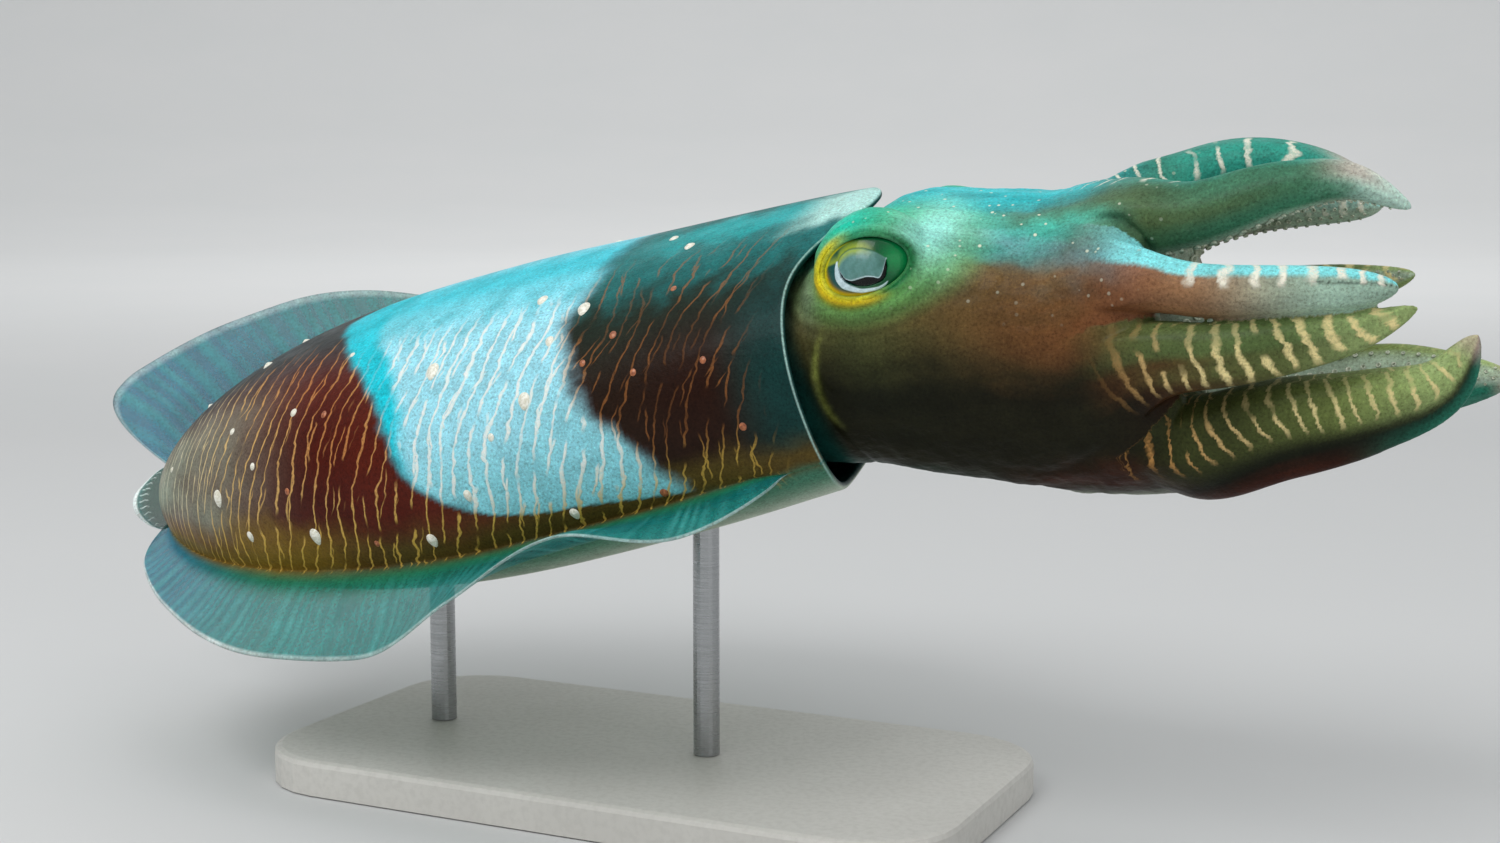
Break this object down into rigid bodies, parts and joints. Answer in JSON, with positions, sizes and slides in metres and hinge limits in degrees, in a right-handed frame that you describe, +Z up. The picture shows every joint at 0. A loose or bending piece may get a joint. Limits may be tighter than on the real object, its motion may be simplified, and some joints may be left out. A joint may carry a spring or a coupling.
{
  "type": "broadclub cuttlefish",
  "caption": "Life-size cuttlefish with waved side fins and spread arms, held nose-up by two rods on a flat stand, for display.",
  "frame": {"origin": "centre of the stand base's underside", "axes": "+Z up, +X the way the animal heads, towards its arm tips, +Y to its left"},
  "size_m": [0.5237, 0.2115, 0.2187],
  "materials": {
    "mantle_skin": "moist skin, dark red-brown with cream lines and a white saddle",
    "head_skin": "moist skin, brown below and teal above",
    "arm_skin": "moist skin, brown with cream bars",
    "fin_skin": "thin moist skin, nearly clear, pale teal with a white edge",
    "eye": "wet and clear",
    "beak": "dark horn",
    "stand_board": "satin pale grey",
    "stand_metal": "brushed"
  },
  "bodies": {
    "root": {"arm_1_left_root": "arm_skin", "arm_1_left_tip": "arm_skin", "arm_1_right_root": "arm_skin", "arm_1_right_tip": "arm_skin", "arm_2_left_root": "arm_skin", "arm_2_left_tip": "arm_skin", "arm_2_right_root": "arm_skin", "arm_2_right_tip": "arm_skin", "arm_3_left_root": "arm_skin", "arm_3_left_tip": "arm_skin", "arm_3_right_root": "arm_skin", "arm_3_right_tip": "arm_skin", "arm_4_left_root": "arm_skin", "arm_4_left_tip": "arm_skin", "arm_4_right_root": "arm_skin", "arm_4_right_tip": "arm_skin", "beak": "beak", "eye_left": "eye", "eye_right": "eye", "fin_left": "fin_skin", "fin_right": "fin_skin", "funnel": "head_skin", "head": "head_skin", "mantle": "mantle_skin", "mouth": "head_skin", "stand_base": "stand_board", "stand_rod_front": "stand_metal", "stand_rod_rear": "stand_metal"}
  },
  "joints": []
}
